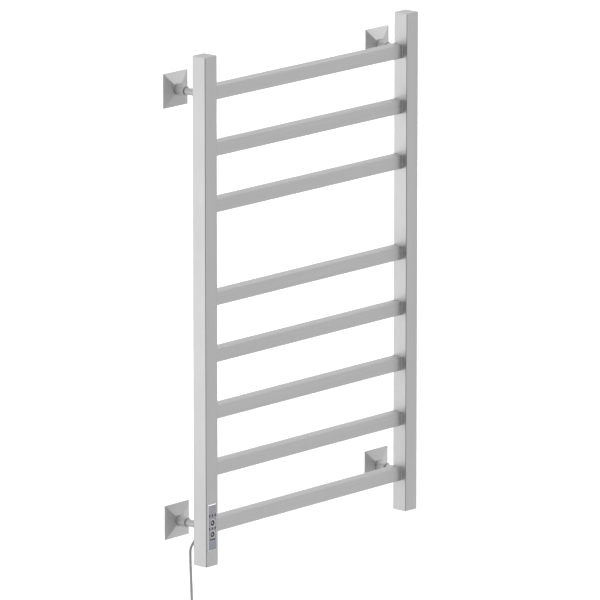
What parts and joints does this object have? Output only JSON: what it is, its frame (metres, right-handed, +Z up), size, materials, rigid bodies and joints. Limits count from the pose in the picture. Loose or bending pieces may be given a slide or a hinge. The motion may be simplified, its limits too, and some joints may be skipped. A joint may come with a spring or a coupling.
{
  "type": "towel warmer rack",
  "caption": "Wall-mounted electric towel warmer with two square posts, box rungs, adjustable standoff brackets and a two-button controller.",
  "frame": {"origin": "centre of the rectangle of the four wall brackets, on the wall plane", "axes": "+Y into the wall, so the rack stands at -Y; +Z up along the posts; +X to the right as seen from the room"},
  "size_m": [0.5806, 0.0863, 1.1065],
  "materials": {
    "satin_steel": "satin brushed stainless steel",
    "zinc_steel": "zinc-plated steel",
    "bright_ring": "polished chrome",
    "panel_face": "semi-gloss grey-lilac film over plastic",
    "black_plastic": "fine matt moulded plastic",
    "smoked_plastic": "smoked dark window",
    "circuit_board": "green solder mask",
    "white_plastic": "moulded plastic",
    "cable_silicone": "silicone sheath",
    "cord_rubber": "grey PVC sheath",
    "brass": "plain brass"
  },
  "bodies": {
    "wall_fixings": {"upper_left_base": "zinc_steel", "upper_left_sleeve": "satin_steel", "upper_left_grub_screw": "zinc_steel", "lower_left_base": "zinc_steel", "lower_left_sleeve": "satin_steel", "lower_left_grub_screw": "zinc_steel", "upper_right_base": "zinc_steel", "upper_right_sleeve": "satin_steel", "upper_right_grub_screw": "zinc_steel", "lower_right_base": "zinc_steel", "lower_right_sleeve": "satin_steel", "lower_right_grub_screw": "zinc_steel"},
    "rack": {"left_post": "satin_steel", "right_post": "satin_steel", "left_top_cap": "satin_steel", "left_bottom_cap": "satin_steel", "right_top_cap": "satin_steel", "right_bottom_cap": "satin_steel", "rung_1": "satin_steel", "rung_2": "satin_steel", "rung_3": "satin_steel", "rung_4": "satin_steel", "rung_5": "satin_steel", "rung_6": "satin_steel", "rung_7": "satin_steel", "rung_8": "satin_steel", "upper_left_stud": "satin_steel", "lower_left_stud": "satin_steel", "upper_right_stud": "satin_steel", "lower_right_stud": "satin_steel", "earth_screw": "zinc_steel", "upper_button_ring": "bright_ring", "lower_button_ring": "bright_ring", "control_panel": "panel_face", "control_housing": "black_plastic", "upper_switch": "black_plastic", "lower_switch": "black_plastic", "gland_nut": "black_plastic", "coil_tie": "black_plastic", "plug_body": "black_plastic", "upper_light_pipe": "smoked_plastic", "lower_light_pipe": "smoked_plastic", "indicator_bar": "smoked_plastic", "circuit_board": "circuit_board", "relay": "white_plastic", "terminal_block": "white_plastic", "thermal_cutout": "white_plastic", "heating_cable": "cable_silicone", "power_cord": "cord_rubber", "cord_coil": "cord_rubber", "strain_relief": "cord_rubber", "plug_pins": "brass", "temperature_sensor": "brass"},
    "upper_left_cover": {"upper_left_cover": "satin_steel"},
    "lower_left_cover": {"lower_left_cover": "satin_steel"},
    "upper_right_cover": {"upper_right_cover": "satin_steel"},
    "lower_right_cover": {"lower_right_cover": "satin_steel"},
    "upper_button": {"upper_button": "black_plastic"},
    "lower_button": {"lower_button": "black_plastic"}
  },
  "joints": [
    {"name": "standoff_slide", "type": "slide", "parent": "wall_fixings", "child": "rack", "axis": [0, -1, 0], "range_m": [-0.009, 0.006]},
    {"name": "upper_left_cover_slide", "type": "slide", "parent": "wall_fixings", "child": "upper_left_cover", "axis": [0, -1, 0], "range_m": [0, 0.015]},
    {"name": "lower_left_cover_slide", "type": "slide", "parent": "wall_fixings", "child": "lower_left_cover", "axis": [0, -1, 0], "range_m": [0, 0.015]},
    {"name": "upper_right_cover_slide", "type": "slide", "parent": "wall_fixings", "child": "upper_right_cover", "axis": [0, -1, 0], "range_m": [0, 0.015]},
    {"name": "lower_right_cover_slide", "type": "slide", "parent": "wall_fixings", "child": "lower_right_cover", "axis": [0, -1, 0], "range_m": [0, 0.015]},
    {"name": "upper_button_press", "type": "slide", "parent": "rack", "child": "upper_button", "axis": [0, 1, 0], "range_m": [0, 0.0008], "stiffness_N_per_m": 1500},
    {"name": "lower_button_press", "type": "slide", "parent": "rack", "child": "lower_button", "axis": [0, 1, 0], "range_m": [0, 0.0008], "stiffness_N_per_m": 1500}
  ]
}
